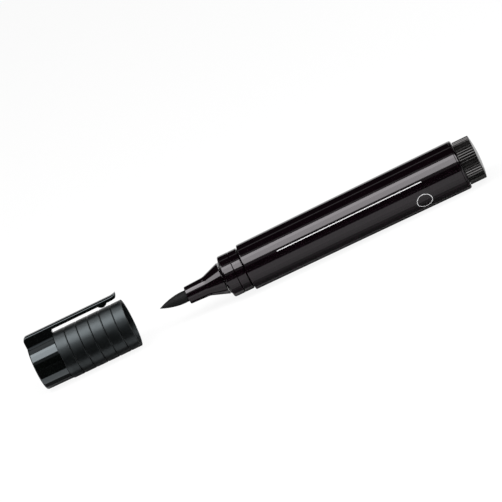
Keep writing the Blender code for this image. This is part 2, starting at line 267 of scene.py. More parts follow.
# Name, ends along the pen, ends across it and shade of each card
CARDS = (
    ("card_front", (-CARD_REACH, CARD_REACH), (-CARD_REACH, CARD_FRONT_Y), "black"),
    ("card_before_pen", (CARD_BETWEEN_X, CARD_REACH), (CARD_FRONT_Y, CARD_PEN_Y), "pale"),
    ("card_near_pen", (CARD_BETWEEN_X, CARD_REACH), (CARD_PEN_Y, CARD_BESIDE_Y), "soft"),
    ("card_beside_pen", (CARD_BETWEEN_X, CARD_REACH), (CARD_BESIDE_Y, CARD_EDGE_Y), "dim"),
    ("card_under_cone", (CARD_BETWEEN_X, CARD_CONE_X), (CARD_EDGE_Y, CARD_REAR_Y), "dim"),
    # Painted shadow: the dusk and grey cards under the pen, and the grey one under the cap, stand for the
    # shade beneath them in the gloss
    ("card_edge_of_pen", (CARD_CONE_X, CARD_REACH), (CARD_EDGE_Y, CARD_UNDER_Y), "dusk"),
    ("card_under_pen", (CARD_CONE_X, CARD_REACH), (CARD_UNDER_Y, CARD_MIDDLE_Y), "grey"),
    ("card_behind_pen", (CARD_CONE_X, CARD_REACH), (CARD_MIDDLE_Y, CARD_REAR_Y), "pale"),
    ("card_front_of_cap", (-CARD_REACH, CARD_BETWEEN_X), (CARD_FRONT_Y, CARD_CAP_Y), "black"),
    ("card_before_crown", (-CARD_REACH, CARD_CROWN_X), (CARD_CAP_Y, CARD_UNDER_Y), "white"),
    ("card_before_sleeve", (CARD_CROWN_X, CARD_BETWEEN_X), (CARD_CAP_Y, CARD_UNDER_Y), "pale"),
    ("card_under_cap", (-CARD_REACH, CARD_BETWEEN_X), (CARD_UNDER_Y, CARD_MIDDLE_Y), "grey"),
    ("card_behind_cap", (-CARD_REACH, CARD_BETWEEN_X), (CARD_MIDDLE_Y, CARD_REAR_Y), "pale"),
)

# Two black cards over the others, painted shade in the reflections, for the dark line under the cone and
# the nozzle's dark lower edge
LINE_REAR_X = -0.012
LINE_REAR_Y = (-0.0082, -0.006)
LINE_FRONT_X = -0.0205
LINE_FRONT_Y = (-0.0038, -0.002)
NOZZLE_CARD_X = -0.0285
NOZZLE_CARD_Y = 0.006

# Lamps: ends along X and distances in metres
KEY_DISTANCE = 0.8
RIM_DISTANCE = 0.9
FILL_DISTANCE = 1.5
LAMP_WHOLE = (-1.3, 1.1)
LAMP_RIGHT = (-0.12, 1.1)
LAMP_LEFT = (-0.38, -0.12)
LAMP_MID_LEFT = (-0.62, -0.38)
LAMP_FAR_LEFT = (-1.3, -0.62)
LAMP_RIM_LEFT = (-0.4, -0.18)
LAMP_FILL = (-1.4, 1.4)

# Name, span of elevations in degrees from the front over the top, distance, ends and radiance of each lamp
SHARED_LAMPS = (
    ("key_right_low", (34.9, 57.5), KEY_DISTANCE, LAMP_RIGHT, 4.5),
    ("key_right_high", (57.5, 70.8), KEY_DISTANCE, LAMP_RIGHT, 5.6),
    ("key_right_skirt", (22.0, 34.9), KEY_DISTANCE, LAMP_RIGHT, 0.16),
    ("key_right_fade", (70.8, 80.0), KEY_DISTANCE, LAMP_RIGHT, 0.34),
    ("key_left_low", (47.0, 72.0), KEY_DISTANCE, LAMP_LEFT, 5.9),
    ("key_left_high", (72.0, 86.0), KEY_DISTANCE, LAMP_LEFT, 6.8),
    ("key_left_skirt", (32.0, 47.0), KEY_DISTANCE, LAMP_LEFT, 0.2),
    ("key_mid_left", (47.0, 86.0), KEY_DISTANCE, LAMP_MID_LEFT, 5.0),
    ("key_far_left", (47.0, 86.0), KEY_DISTANCE, LAMP_FAR_LEFT, 4.0),
    ("rim_right", (112.0, 117.0), RIM_DISTANCE, LAMP_RIGHT, 0.45),
    ("rim_left", (87.5, 113.0), RIM_DISTANCE, LAMP_RIM_LEFT, 0.68),
)
SLEEVE_LAMPS = (
    ("key_sleeve", (54.5, 93.0), KEY_DISTANCE, LAMP_WHOLE, 5.0),
    ("skirt_sleeve", (22.0, 54.5), KEY_DISTANCE, LAMP_WHOLE, 0.56),
    ("rim_sleeve", (93.0, 128.0), KEY_DISTANCE, LAMP_WHOLE, 1.2),
)
FILL_LAMP = ("overhead_fill", (50.0, 130.0), FILL_DISTANCE, LAMP_FILL, 0.25)
WORLD_SHADE = 0.012

# Camera, in metres: where it stands, seen from the pen, and how the picture is turned
CAMERA_AZIMUTH = math.radians(4.4)
CAMERA_ELEVATION = math.radians(17)
CAMERA_DISTANCE = 1.089
CAMERA_ROLL = math.radians(25.687)
CAMERA_LENS = 237.08
CAMERA_SENSOR = 36.0
CAMERA_AIM_X = -0.00027
CAMERA_AIM_ABOVE_AXIS = 0.00413
CAMERA_NEAR = 0.01
CAMERA_FAR = 20.0


def arc_points(centre, radius, start, span):
    steps = max(2, math.ceil(abs(span) / ARC_STEP))
    points = []
    for step in range(steps + 1):
        angle = start + span * step / steps
        points.append((centre[0] + radius * math.cos(angle), centre[1] + radius * math.sin(angle)))
    return points


def towards(point, other, distance):
    """Point moved a short way along the line to another, or None where the line is too short."""
    length = math.dist(point, other)
    if length < 3 * distance:
        return None
    share = distance / length
    return (point[0] + (other[0] - point[0]) * share, point[1] + (other[1] - point[1]) * share)


def rounded(points, closed=True):
    """Outline with an arc at each (a, b, radius) corner, and a support point beside every arc or corner."""
    outline = []
    count = len(points)
    for index, point in enumerate(points):
        radius = point[2] if len(point) > 2 else 0.0
        if not closed and index in (0, count - 1):
            outline.append(point[:2])
            continue
        before = points[index - 1][:2]
        after = points[(index + 1) % count][:2]
        corner = [point[:2]]
        if radius > 0.0:
            to_before = math.atan2(before[1] - point[1], before[0] - point[0])
            to_after = math.atan2(after[1] - point[1], after[0] - point[0])
            turn = (to_after - to_before + math.pi) % (2 * math.pi) - math.pi
            middle = to_before + turn / 2
            reach = radius / math.sin(abs(turn) / 2)
            centre = (point[0] + reach * math.cos(middle), point[1] + reach * math.sin(middle))
            span = math.copysign(math.pi - abs(turn), turn)
            corner = arc_points(centre, radius, to_before - math.copysign(math.pi / 2, turn), -span)
        corner = [towards(corner[0], before, SUPPORT)] + corner + [towards(corner[-1], after, SUPPORT)]
        outline += [place for place in corner if place is not None]
    return outline


def circle_ring(x, radius, segments):
    """Ring of points about the axis, or a single point where the radius is 0."""
    if radius < POLE_RADIUS:
        return [(x, 0.0, 0.0)]
    ring = []
    for index in range(segments):
        angle = 2 * math.pi * index / segments
        ring.append((x, radius * math.cos(angle), radius * math.sin(angle)))
    return ring


def skin(name, rings, origin, closed=False):
    """Closed mesh through rings of equal count; a ring of one point is a pole, and open ends are filled."""
    form = bmesh.new()
    loops = [[form.verts.new(point) for point in ring] for ring in rings]
    pairs = list(zip(loops, loops[1:]))
    if closed:
        pairs.append((loops[-1], loops[0]))
    for first, second in pairs:
        count = max(len(first), len(second))
        for index in range(count):
            following = (index + 1) % count
            corners = [first[index % len(first)], first[following % len(first)],
                       second[following % len(second)], second[index % len(second)]]
            form.faces.new(list(dict.fromkeys(corners)))
    if not closed:
        for loop in (loops[0], loops[-1]):
            if len(loop) > 2:
                form.faces.new(loop)
    bmesh.ops.recalc_face_normals(form, faces=form.faces)
    bmesh.ops.scale(form, vec=(MM, MM, MM), verts=form.verts)
    bmesh.ops.translate(form, vec=origin, verts=form.verts)
    mesh = bpy.data.meshes.new(name)
    form.to_mesh(mesh)
    form.free()
    mesh.shade_smooth()
    mesh.set_sharp_from_angle(angle=SMOOTH_ANGLE)
    piece = bpy.data.objects.new(name, mesh)
    bpy.context.scene.collection.objects.link(piece)
    return piece


def turned(name, points, origin, segments=SEGMENTS):
    """Solid of revolution about the axis; an outline that starts on the axis also ends on it."""
    closed = points[0][1] > 0
    outline = rounded(points, closed)
    return skin(name, [circle_ring(x, radius, segments) for x, radius in outline], origin, closed)


def finish_piece(piece, body, slot, material, *nodes):
    piece.data.materials.append(material)
    if nodes:
        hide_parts(*nodes)
    if body:
        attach(piece, body)
    return piece


# Materials

def principled(name, gloss=0.5):
    material = bpy.data.materials.new(name)
    material.use_nodes = True
    tree = material.node_tree
    shader = tree.nodes["Principled BSDF"]
    shader.inputs["IOR"].default_value = PLASTIC_IOR
    shader.inputs["Specular IOR Level"].default_value = gloss
    return material, tree, shader


def noise(tree, scale, detail=2.0, stretch=(1.0, 1.0, 1.0)):
    """Noise in the object's own space, with features about 1/scale metres across."""
    coordinates = tree.nodes.new("ShaderNodeTexCoord")
    mapping = tree.nodes.new("ShaderNodeMapping")
    mapping.inputs["Scale"].default_value = stretch
    texture = tree.nodes.new("ShaderNodeTexNoise")
    texture.inputs["Scale"].default_value = scale
    texture.inputs["Detail"].default_value = detail
    tree.links.new(coordinates.outputs["Object"], mapping.inputs["Vector"])
    tree.links.new(mapping.outputs["Vector"], texture.inputs["Vector"])
    return texture.outputs["Fac"]


def spread(tree, value, low, high):
    """Noise spread out between two values."""
    ranged = tree.nodes.new("ShaderNodeMapRange")
    ranged.inputs["From Min"].default_value = NOISE_LOW
    ranged.inputs["From Max"].default_value = NOISE_HIGH
    ranged.inputs["To Min"].default_value = low
    ranged.inputs["To Max"].default_value = high
    tree.links.new(value, ranged.inputs["Value"])
    return ranged.outputs["Result"]


def mottled(tree, value, dark, light):
    """Colour that drifts between two shades."""
    ramp = tree.nodes.new("ShaderNodeValToRGB")
    ramp.color_ramp.elements[0].position = NOISE_LOW
    ramp.color_ramp.elements[0].color = (*dark, 1.0)
    ramp.color_ramp.elements[1].position = NOISE_HIGH
    ramp.color_ramp.elements[1].color = (*light, 1.0)
    tree.links.new(value, ramp.inputs["Fac"])
    return ramp.outputs["Color"]


def bump(tree, shader, value, strength, depth_mm):
    node = tree.nodes.new("ShaderNodeBump")
    node.inputs["Strength"].default_value = strength
    node.inputs["Distance"].default_value = depth_mm * MM
    tree.links.new(value, node.inputs["Height"])
    tree.links.new(node.outputs["Normal"], shader.inputs["Normal"])


def gloss_plastic(name, dark, light, tint, smooth, rough):
    """Polished black moulding: faint orange peel, and handling that dulls it in soft patches."""
    material, tree, shader = principled(name)
    shader.inputs["Specular Tint"].default_value = (*tint, 1.0)
    drift = noise(tree, scale=400)
    handling = noise(tree, scale=160, detail=4.0)
    peel = noise(tree, scale=900, detail=3.0)
    tree.links.new(mottled(tree, drift, dark, light), shader.inputs["Base Color"])
    tree.links.new(spread(tree, handling, smooth, rough), shader.inputs["Roughness"])
    bump(tree, shader, peel, strength=0.05, depth_mm=0.05)
    return material


def satin_plastic(name, dark, light, tint, smooth, rough, grain_scale, gloss=0.5):
    """Spark-textured moulding: fine even grain that spreads the light."""
    material, tree, shader = principled(name, gloss)
    shader.inputs["Specular Tint"].default_value = (*tint, 1.0)
    drift = noise(tree, scale=700, detail=4.0)
    polish = noise(tree, scale=350, detail=3.0)
    grain = noise(tree, scale=grain_scale)
    tree.links.new(mottled(tree, drift, dark, light), shader.inputs["Base Color"])
    tree.links.new(spread(tree, polish, smooth, rough), shader.inputs["Roughness"])
    bump(tree, shader, grain, strength=0.25, depth_mm=0.03)
    return material


def felt(name, dark, light, along):
    """Bonded fibres that run along the axis."""
    material, tree, shader = principled(name, FELT_GLOSS)
    fibres = noise(tree, scale=1.0, detail=5.0, stretch=(along, FIBRE_COUNT, FIBRE_COUNT))
    shader.inputs["Roughness"].default_value = FELT_ROUGHNESS
    tree.links.new(mottled(tree, fibres, dark, light), shader.inputs["Base Color"])
    bump(tree, shader, fibres, strength=0.4, depth_mm=0.05)
    return material


def print_ink(name):
    """White screen print, a little uneven in cover."""
    material, tree, shader = principled(name)
    cover = noise(tree, scale=2500, detail=3.0)
    colour = mottled(tree, cover, dark=(0.50, 0.50, 0.51), light=(0.60, 0.60, 0.60))
    tree.links.new(colour, shader.inputs["Base Color"])
    tree.links.new(spread(tree, cover, low=0.35, high=0.5), shader.inputs["Roughness"])
    bump(tree, shader, cover, strength=0.2, depth_mm=0.01)
    return material


def clear_film(name):
    """Thin film round the reservoir, milky where it creases."""
    material, tree, shader = principled(name)
    creases = noise(tree, scale=600, detail=4.0, stretch=(0.3, 1.0, 1.0))
    colour = mottled(tree, creases, dark=(0.45, 0.46, 0.48), light=(0.62, 0.63, 0.65))
    tree.links.new(colour, shader.inputs["Base Color"])
    tree.links.new(spread(tree, creases, low=0.18, high=0.32), shader.inputs["Roughness"])
    bump(tree, shader, creases, strength=0.2, depth_mm=0.05)
    return material


# Pieces of the pen

def build_barrel(material):
    line_x = BARREL_LENGTH - BARREL_LINE_FROM_REAR
    barrel = turned("barrel_tube", [
        (0.0, BARREL_BORE),
        (0.0, BARREL_FRONT_RADIUS, BARREL_FRONT_FILLET),
        (line_x - BARREL_LINE_HALF, BARREL_REAR_RADIUS),
        (line_x, BARREL_REAR_RADIUS - BARREL_LINE_DEPTH),
        (line_x + BARREL_LINE_HALF, BARREL_REAR_RADIUS),
        (BARREL_LENGTH, BARREL_REAR_RADIUS, BARREL_REAR_FILLET),
        (BARREL_LENGTH, BARREL_BORE),
    ], PEN_ORIGIN)
    finish_piece(barrel, "pen", "gloss_black", material, "barrel")


def build_front_section(material):
    cone_rear = -COLLAR_LENGTH - NECK_WIDTH
    section = turned("front_moulding", [
        (NOZZLE_X, NOZZLE_BORE, NOZZLE_BORE_FILLET),
        (NOZZLE_X, NOZZLE_RADIUS, NOZZLE_FILLET),
        (CONE_FRONT_X, CONE_FRONT_RADIUS, CONE_BLEND),
        (cone_rear, CONE_REAR_RADIUS, CONE_REAR_FILLET),
        (cone_rear, NECK_RADIUS),
        (cone_rear + NECK_SLOT, NECK_RADIUS),
        (cone_rear + NECK_LIP, NECK_LIP_RADIUS),
        (-COLLAR_LENGTH, NECK_FOOT_RADIUS),
        (-COLLAR_LENGTH, COLLAR_RADIUS, COLLAR_FILLET),
        (COLLAR_GROOVE_X - COLLAR_GROOVE_HALF, COLLAR_RADIUS, COLLAR_GROOVE_EDGE),
        (COLLAR_GROOVE_X, COLLAR_RADIUS - COLLAR_GROOVE_DEPTH),
        (COLLAR_GROOVE_X + COLLAR_GROOVE_HALF, COLLAR_RADIUS, COLLAR_GROOVE_EDGE),
        (RELIEF_FRONT_X, COLLAR_RADIUS, RELIEF_FILLET),
        (RELIEF_FRONT_X, RELIEF_RADIUS),
        (RELIEF_FRONT_X + RELIEF_SLOT, RELIEF_RADIUS),
        (RELIEF_FRONT_X + RELIEF_SLOT, SPIGOT_RADIUS),
        (RELIEF_REAR_X, RELIEF_FOOT_RADIUS),
        (RELIEF_REAR_X, SPIGOT_RADIUS),
        (SPIGOT_LENGTH, SPIGOT_RADIUS, SPIGOT_FILLET),
        (SPIGOT_LENGTH, NOZZLE_BORE),
    ], PEN_ORIGIN)
    finish_piece(section, "pen", "gloss_black", material, "front_section")


def nib_radius(x):
    along = min(1.0, (x - NIB_TIP_X) / NIB_POINT_LENGTH)
    return NIB_RADIUS * (1 - (1 - along) ** 2)


def build_nib(material):
    tip_steps = 36
    body_steps = 8
    point_rear = NIB_TIP_X + NIB_POINT_LENGTH
    seat = NOZZLE_X + NIB_SEAT_DEPTH
    stations = []
    for step in range(1, tip_steps + 1):
        stations.append(NIB_TIP_X + NIB_POINT_LENGTH * (step / tip_steps) ** NIB_TIP_CROWDING)
    for step in range(1, body_steps + 1):
        stations.append(point_rear + (seat - point_rear) * step / body_steps)
    rings = [[(NIB_TIP_X, 0.0, 0.0)]]
    for x in stations:
        radius = nib_radius(x)
        depth = NIB_FLUTE_DEPTH * radius / NIB_RADIUS
        ring = []
        for index in range(SEGMENTS):
            angle = 2 * math.pi * index / SEGMENTS
            wave = math.sin(NIB_FLUTES * angle + NIB_FLUTE_TWIST * x)
            fine_wave = math.sin(NIB_FINE_FLUTES * angle + NIB_FINE_TWIST * x)
            reach = radius + depth * (wave + NIB_FINE_SHARE * fine_wave - 1)
            ring.append((x, reach * math.cos(angle), reach * math.sin(angle)))
        rings.append(ring)
    rings.append(circle_ring(NIB_REAR_X - NIB_REAR_CHAMFER_LENGTH, NIB_RADIUS - NIB_SHANK_INSET, SEGMENTS))
    rings.append(circle_ring(NIB_REAR_X, NIB_RADIUS - NIB_REAR_CHAMFER, SEGMENTS))
    rings.append([(NIB_REAR_X, 0.0, 0.0)])
    nib = skin("brush_tip", rings, PEN_ORIGIN)
    finish_piece(nib, "pen", "nib_felt", material, "brush_nib")


def build_end_plug(material):
    head_front = BARREL_LENGTH + PLUG_GAP
    head_rear = head_front + PLUG_HEAD_LENGTH
    dome_steps = 12
    dome = []
    for step in range(1, dome_steps):
        share = 1 - step / dome_steps
        dome.append((head_rear + PLUG_DOME * (1 - share ** 2), PLUG_RADIUS * share))
    outline = rounded([
        (BARREL_LENGTH - PLUG_SPIGOT_LENGTH, 0.0),
        (BARREL_LENGTH - PLUG_SPIGOT_LENGTH, SPIGOT_RADIUS, SPIGOT_FILLET),
        (head_front, SPIGOT_RADIUS),
        (head_front, PLUG_RADIUS, PLUG_FRONT_FILLET),
        (head_rear, PLUG_RADIUS, PLUG_REAR_FILLET),
        dome[0],
    ], closed=False)
    profile = PLUG_RIB_PROFILE * PLUG_RIBS
    rings = []
    for x, radius in outline + dome[1:]:
        if radius < POLE_RADIUS:
            rings.append([(x, 0.0, 0.0)])
            continue
        inside = min((x - head_front) / PLUG_FRONT_FILLET, (head_rear - x) / PLUG_REAR_FILLET)
        depth = PLUG_GROOVE_DEPTH * math.sin(math.pi / 2 * max(0.0, min(1.0, inside)))
        ring = []
        for index, groove in enumerate(profile):
            angle = 2 * math.pi * index / len(profile) + PLUG_GROOVE_TURN
            reach = radius - depth * groove
            ring.append((x, reach * math.cos(angle), reach * math.sin(angle)))
        rings.append(ring)
    rings.append([(head_rear + PLUG_DOME, 0.0, 0.0)])
    plug = skin("ribbed_plug", rings, PEN_ORIGIN)
    finish_piece(plug, "pen", "plug_charcoal", material, "end_plug")


def on_barrel(x, angle, proud):
    """Point on the barrel at an angle above the horizontal at the front, standing proud of it."""
    share = x / BARREL_LENGTH
    radius = BARREL_FRONT_RADIUS + (BARREL_REAR_RADIUS - BARREL_FRONT_RADIUS) * share + proud
    return (x, -radius * math.cos(angle), radius * math.sin(angle))


def build_rule(material):
    half = RULE_WIDTH / 2 / BARREL_FRONT_RADIUS
    across = 5
    steps = 60
    rings = []
    for step in range(steps + 1):
        x = RULE_START_X + (RULE_END_X - RULE_START_X) * step / steps
        angles = [RULE_ANGLE - half + 2 * half * index / across for index in range(across + 1)]
        upper = [on_barrel(x, angle, PRINT_PROUD) for angle in angles]
        lower = [on_barrel(x, angle, -PRINT_SUNK) for angle in reversed(angles)]
        rings.append(upper + lower)
    rule = skin("printed_rule", rings, PEN_ORIGIN)
    finish_piece(rule, "pen", "gloss_black", material)


def build_ring(material):
    outer = RING_RADIUS
    inner = RING_RADIUS - RING_STROKE
    section = ((outer, PRINT_PROUD), (outer, -PRINT_SUNK), (inner, -PRINT_SUNK), (inner, PRINT_PROUD))
    steps = 96
    rings = []
    for step in range(steps):
        turn = 2 * math.pi * step / steps
        ring = []
        for radius, proud in section:
            angle = RING_ANGLE + radius * math.sin(turn) / BARREL_REAR_RADIUS
            ring.append(on_barrel(RING_X + radius * math.cos(turn), angle, proud))
        rings.append(ring)
    ring_piece = skin("printed_ring", rings, PEN_ORIGIN, closed=True)
    finish_piece(ring_piece, "pen", "gloss_black", material)


# Pieces of the cap

def quarter(radius, inset):
    """How far a rounded corner of this radius falls short, at a distance inside its edge."""
    if inset >= radius:
        return 0.0
    return radius - math.sqrt(radius ** 2 - (radius - inset) ** 2)


def clip_top(half, top, edge):
    """Right half of the clip's crowned top, from the flank to the middle."""
    shoulder = top - CLIP_CROWNING
    points = arc_points((half - edge, shoulder - edge), edge, 0.0, math.pi / 2)
    steps = 6
    for step in range(1, steps + 1):
        share = step / steps
        points.append(((half - edge) * (1 - share), shoulder + CLIP_CROWNING * (1 - (1 - share) ** 2)))
    return points


def mirrored(half_outline):
    """Whole ring from a right half that runs from the bottom middle to the top middle."""
    left = [(-y, z) for y, z in reversed(half_outline[1:-1])]
    return half_outline + left


def crown_section(radius, half, top):
    """Round crown with the clip's root standing on it."""
    outline = []
    foot = math.acos(half / radius)
    circle_steps = 72
    for step in range(circle_steps + 1):
        angle = -math.pi / 2 + (foot + math.pi / 2) * step / circle_steps
        outline.append((radius * math.cos(angle), radius * math.sin(angle)))
    outline += clip_top(half, top, CLIP_EDGE)
    return mirrored(outline)


def build_crown(material):
    length = CROWN_REAR_X + CAP_LENGTH
    depths = {0.0, CLIP_ROOT_CORNER + SUPPORT, length - SUPPORT, length}
    corner_steps = 14
    for radius in (CLIP_ROOT_CORNER, CROWN_FILLET, CLIP_ROOT_EDGE):
        for step in range(1, corner_steps + 1):
            depths.add(radius * (1 - math.cos(math.pi / 2 * step / corner_steps)))
    sections = []
    for depth in sorted(depths):
        share = depth / length
        radius = CROWN_END_RADIUS + (CROWN_REAR_RADIUS - CROWN_END_RADIUS) * share
        radius -= quarter(CROWN_FILLET, depth)
        half = CLIP_HALF_WIDTH - quarter(CLIP_ROOT_EDGE, depth)
        top = CLIP_OUTER - quarter(CLIP_ROOT_CORNER, depth)
        sections.append((depth - CAP_LENGTH, crown_section(radius, half, top)))
    front_x, front = sections[0]
    rings = [[(front_x, 0.0, 0.0)]]
    rings.append([(front_x, y * CROWN_FACE_SHARE, z * CROWN_FACE_SHARE) for y, z in front])
    rings += [[(x, y, z) for y, z in section] for x, section in sections]

    # Inside of the crown, at the same polar angles as its rear edge
    rear = sections[-1][1]
    spigot_end = CROWN_REAR_X + CROWN_SPIGOT_LENGTH
    floor = CROWN_WALL - CAP_LENGTH
    for x, radius in ((CROWN_REAR_X, CROWN_SPIGOT_RADIUS), (spigot_end, CROWN_SPIGOT_RADIUS),
                      (spigot_end, CROWN_SPIGOT_BORE), (floor, CROWN_SPIGOT_BORE)):
        rings.append([(x, y * radius / math.hypot(y, z), z * radius / math.hypot(y, z)) for y, z in rear])
    rings.append([(floor, 0.0, 0.0)])
    crown = skin("crown", rings, CAP_ORIGIN)
    finish_piece(crown, "cap", "gloss_black", material, "cap_crown")


def clip_ring(x):
    """Section across the clip's arm at x."""
    from_tip = CLIP_TIP_X - x
    half = CLIP_HALF_WIDTH - quarter(CLIP_TIP_CORNER, from_tip)
    flare = max(0.0, 1 - from_tip / CLIP_TIP_FLARE_LENGTH) ** 2
    top = CLIP_OUTER + CLIP_TIP_FLARE * flare
    bottom = CLIP_INNER + CLIP_TIP_FLARE * flare + quarter(CLIP_TIP_ROUND, from_tip)
    if x < CLIP_ARM_X:
        bottom = CLIP_ROOT_UNDERSIDE
    else:
        bottom -= quarter(CLIP_SLIT_FILLET, x - CLIP_ARM_X)
    off_nub = (x - CLIP_NUB_X) / CLIP_NUB_HALF
    bottom -= CLIP_NUB_DEPTH * max(0.0, 1 - off_nub ** 2)
    edge = min(CLIP_EDGE, (top - bottom) / 3)
    outline = [(0.0, bottom)]
    outline += arc_points((half - edge / 2, bottom + edge / 2), edge / 2, -math.pi / 2, math.pi / 2)
    outline += clip_top(half, top, edge)
    return [(x, y, z) for y, z in mirrored(outline)]


def build_clip(material):
    stations = {CROWN_REAR_X, CLIP_ARM_X - CLIP_SLIT_STEP, CLIP_ARM_X, CLIP_TIP_X - CLIP_TIP_BLUNT}
    corner_steps = 12
    for step in range(1, corner_steps + 1):
        reach = 1 - math.cos(math.pi / 2 * step / corner_steps)
        stations.add(CLIP_ARM_X + CLIP_SLIT_FILLET * reach)
        stations.add(CLIP_TIP_X - CLIP_TIP_CORNER * reach - CLIP_TIP_BLUNT)
    for step in range(corner_steps + 1):
        stations.add(CLIP_NUB_X + CLIP_NUB_HALF * (2 * step / corner_steps - 1))
        stations.add(CLIP_TIP_X - CLIP_TIP_FLARE_LENGTH * (1 + step / corner_steps / 2))
    arm_steps = 16
    arm_start = CLIP_ARM_X + CLIP_ARM_LEAD
    arm_end = CLIP_NUB_X - CLIP_NUB_LEAD
    for step in range(arm_steps):
        stations.add(arm_start + (arm_end - arm_start) * step / arm_steps)
    clip = skin("clip_arm", [clip_ring(x) for x in sorted(stations)], CAP_ORIGIN)
    finish_piece(clip, None, "gloss_black", material, "clip")
    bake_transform(clip)


def build_sleeve(material, shade_material):
    """Grooved tube; the flat rims and the deepest part of each groove take a copy of the satin that hardly
    reflects, as painted shade that keeps them dark.
    """
    outline = [(-SLEEVE_LENGTH, SLEEVE_BORE), (-SLEEVE_LENGTH, SLEEVE_RADIUS, SLEEVE_REAR_FILLET)]
    for index in range(SLEEVE_GROOVES):
        x = SLEEVE_FIRST_GROOVE_X + SLEEVE_GROOVE_PITCH * index
        outline.append((x - SLEEVE_GROOVE_HALF, SLEEVE_RADIUS, SLEEVE_GROOVE_EDGE))
        outline.append((x - SLEEVE_CORE_HALF, SLEEVE_RADIUS - SLEEVE_CORE_DEPTH))
        outline.append((x, SLEEVE_RADIUS - SLEEVE_GROOVE_DEPTH))
        outline.append((x + SLEEVE_CORE_HALF, SLEEVE_RADIUS - SLEEVE_CORE_DEPTH))
        outline.append((x + SLEEVE_GROOVE_HALF, SLEEVE_RADIUS, SLEEVE_GROOVE_EDGE))
    outline += [(0.0, SLEEVE_RADIUS, SLEEVE_MOUTH_FILLET), (0.0, SLEEVE_BORE, SLEEVE_BORE_FILLET)]
    sleeve = turned("grooved_sleeve", outline, CAP_ORIGIN)
    finish_piece(sleeve, "cap", "satin_charcoal", material, "cap_sleeve")
    # Second slot: painted shade for the flat rims and the groove bottoms
    sleeve.data.materials.append(shade_material)
    core_radius = (SLEEVE_RADIUS - SLEEVE_CORE_DEPTH) * MM
    for face in sleeve.data.polygons:
        across = Vector((0.0, face.center.y, face.center.z - AXIS_HEIGHT))
        outward = face.normal.dot(across.normalized())
        on_rim = abs(outward) < SLEEVE_RIM_LEAN
        in_groove = outward > 0 and across.length < core_radius
        if on_rim or in_groove:
            face.material_index = 1
    return sleeve


def build_inner_cap(material):
    base = CROWN_WALL - CAP_LENGTH + CROWN_GAP
    inner = turned("inner_seal", [
        (base, 0.0),
        (base, INNER_CAP_FLANGE),
        (INNER_CAP_FLOOR_X, INNER_CAP_FLANGE),
        (INNER_CAP_FLOOR_X, INNER_CAP_DEEP_BORE + INNER_CAP_WALL, INNER_CAP_ROOT_FILLET),
        (INNER_CAP_MOUTH_X, INNER_CAP_BORE + INNER_CAP_WALL, INNER_CAP_LIP),
        (INNER_CAP_MOUTH_X, INNER_CAP_BORE, INNER_CAP_LIP),
        (INNER_CAP_FLOOR_X, INNER_CAP_DEEP_BORE),
        (INNER_CAP_FLOOR_X, 0.0),
    ], CAP_ORIGIN, INNER_CAP_SEGMENTS)
    finish_piece(inner, "cap", "seal_black", material, "inner_cap")


# Stage, light and camera

def flat_sheet(name, corners, material):
    """Stage sheet with four corners."""
    mesh = bpy.data.meshes.new(name)
    mesh.from_pydata(corners, [], [(0, 1, 2, 3)])
    mesh.materials.append(material)
    sheet = bpy.data.objects.new(name, mesh)
    bpy.context.scene.collection.objects.link(sheet)
    return sheet


def paper(name, shade, glow_share):
    """Plain paper, partly self-lit where it is seen, so that it stays white and still takes a shadow."""
    material = bpy.data.materials.new(name)
    material.use_nodes = True
    tree = material.node_tree
    tree.nodes.clear()
    path = tree.nodes.new("ShaderNodeLightPath")
    matt = tree.nodes.new("ShaderNodeBsdfDiffuse")
    matt.inputs["Color"].default_value = (shade, shade, shade, 1.0)
    glow = tree.nodes.new("ShaderNodeEmission")
    glow.inputs["Color"].default_value = (1.0, 1.0, 1.0, 1.0)
    seen = path.outputs["Is Camera Ray"]
    for ray in ("Is Glossy Ray", "Is Transmission Ray"):
        either = tree.nodes.new("ShaderNodeMath")
        either.operation = "MAXIMUM"
        tree.links.new(seen, either.inputs[0])
        tree.links.new(path.outputs[ray], either.inputs[1])
        seen = either.outputs["Value"]
    share = tree.nodes.new("ShaderNodeMath")
    share.operation = "MULTIPLY"
    share.inputs[1].default_value = glow_share
    mix = tree.nodes.new("ShaderNodeMixShader")
    output = tree.nodes.new("ShaderNodeOutputMaterial")
    tree.links.new(seen, share.inputs[0])
    tree.links.new(share.outputs["Value"], mix.inputs["Fac"])
    tree.links.new(matt.outputs["BSDF"], mix.inputs[1])
    tree.links.new(glow.outputs["Emission"], mix.inputs[2])
    tree.links.new(mix.outputs["Shader"], output.inputs["Surface"])
    return material


def card_paper(name, shade):
    """Plain matt card."""
    material = bpy.data.materials.new(name)
    material.use_nodes = True
    tree = material.node_tree
    tree.nodes.clear()
    matt = tree.nodes.new("ShaderNodeBsdfDiffuse")
    matt.inputs["Color"].default_value = (shade, shade, shade, 1.0)
    output = tree.nodes.new("ShaderNodeOutputMaterial")
    tree.links.new(matt.outputs["BSDF"], output.inputs["Surface"])
    return material


def reflection_card(name, corners, height, material):
    """Flat card on the floor that only reflections see, a painted reflection of light or shade."""
    card = flat_sheet(name, [(x, y, height) for x, y in corners], material)
    card.visible_camera = False
    card.visible_diffuse = False
    card.visible_shadow = False
    card.visible_transmission = False


def build_floor():
    white = paper("white_paper", PAPER_SHADE, PAPER_GLOW)
    left, right = -FLOOR_HALF, FLOOR_HALF
    wall_top = WALL_Y * math.tan(WALL_ELEVATION)
    flat_sheet("floor", [(left, left, FLOOR_LEVEL), (right, left, FLOOR_LEVEL),
                         (right, right, FLOOR_LEVEL), (left, right, FLOOR_LEVEL)], white)
    flat_sheet("backdrop", [(left, WALL_Y, FLOOR_LEVEL), (right, WALL_Y, FLOOR_LEVEL),
                            (right, WALL_Y, wall_top), (left, WALL_Y, wall_top)], white)


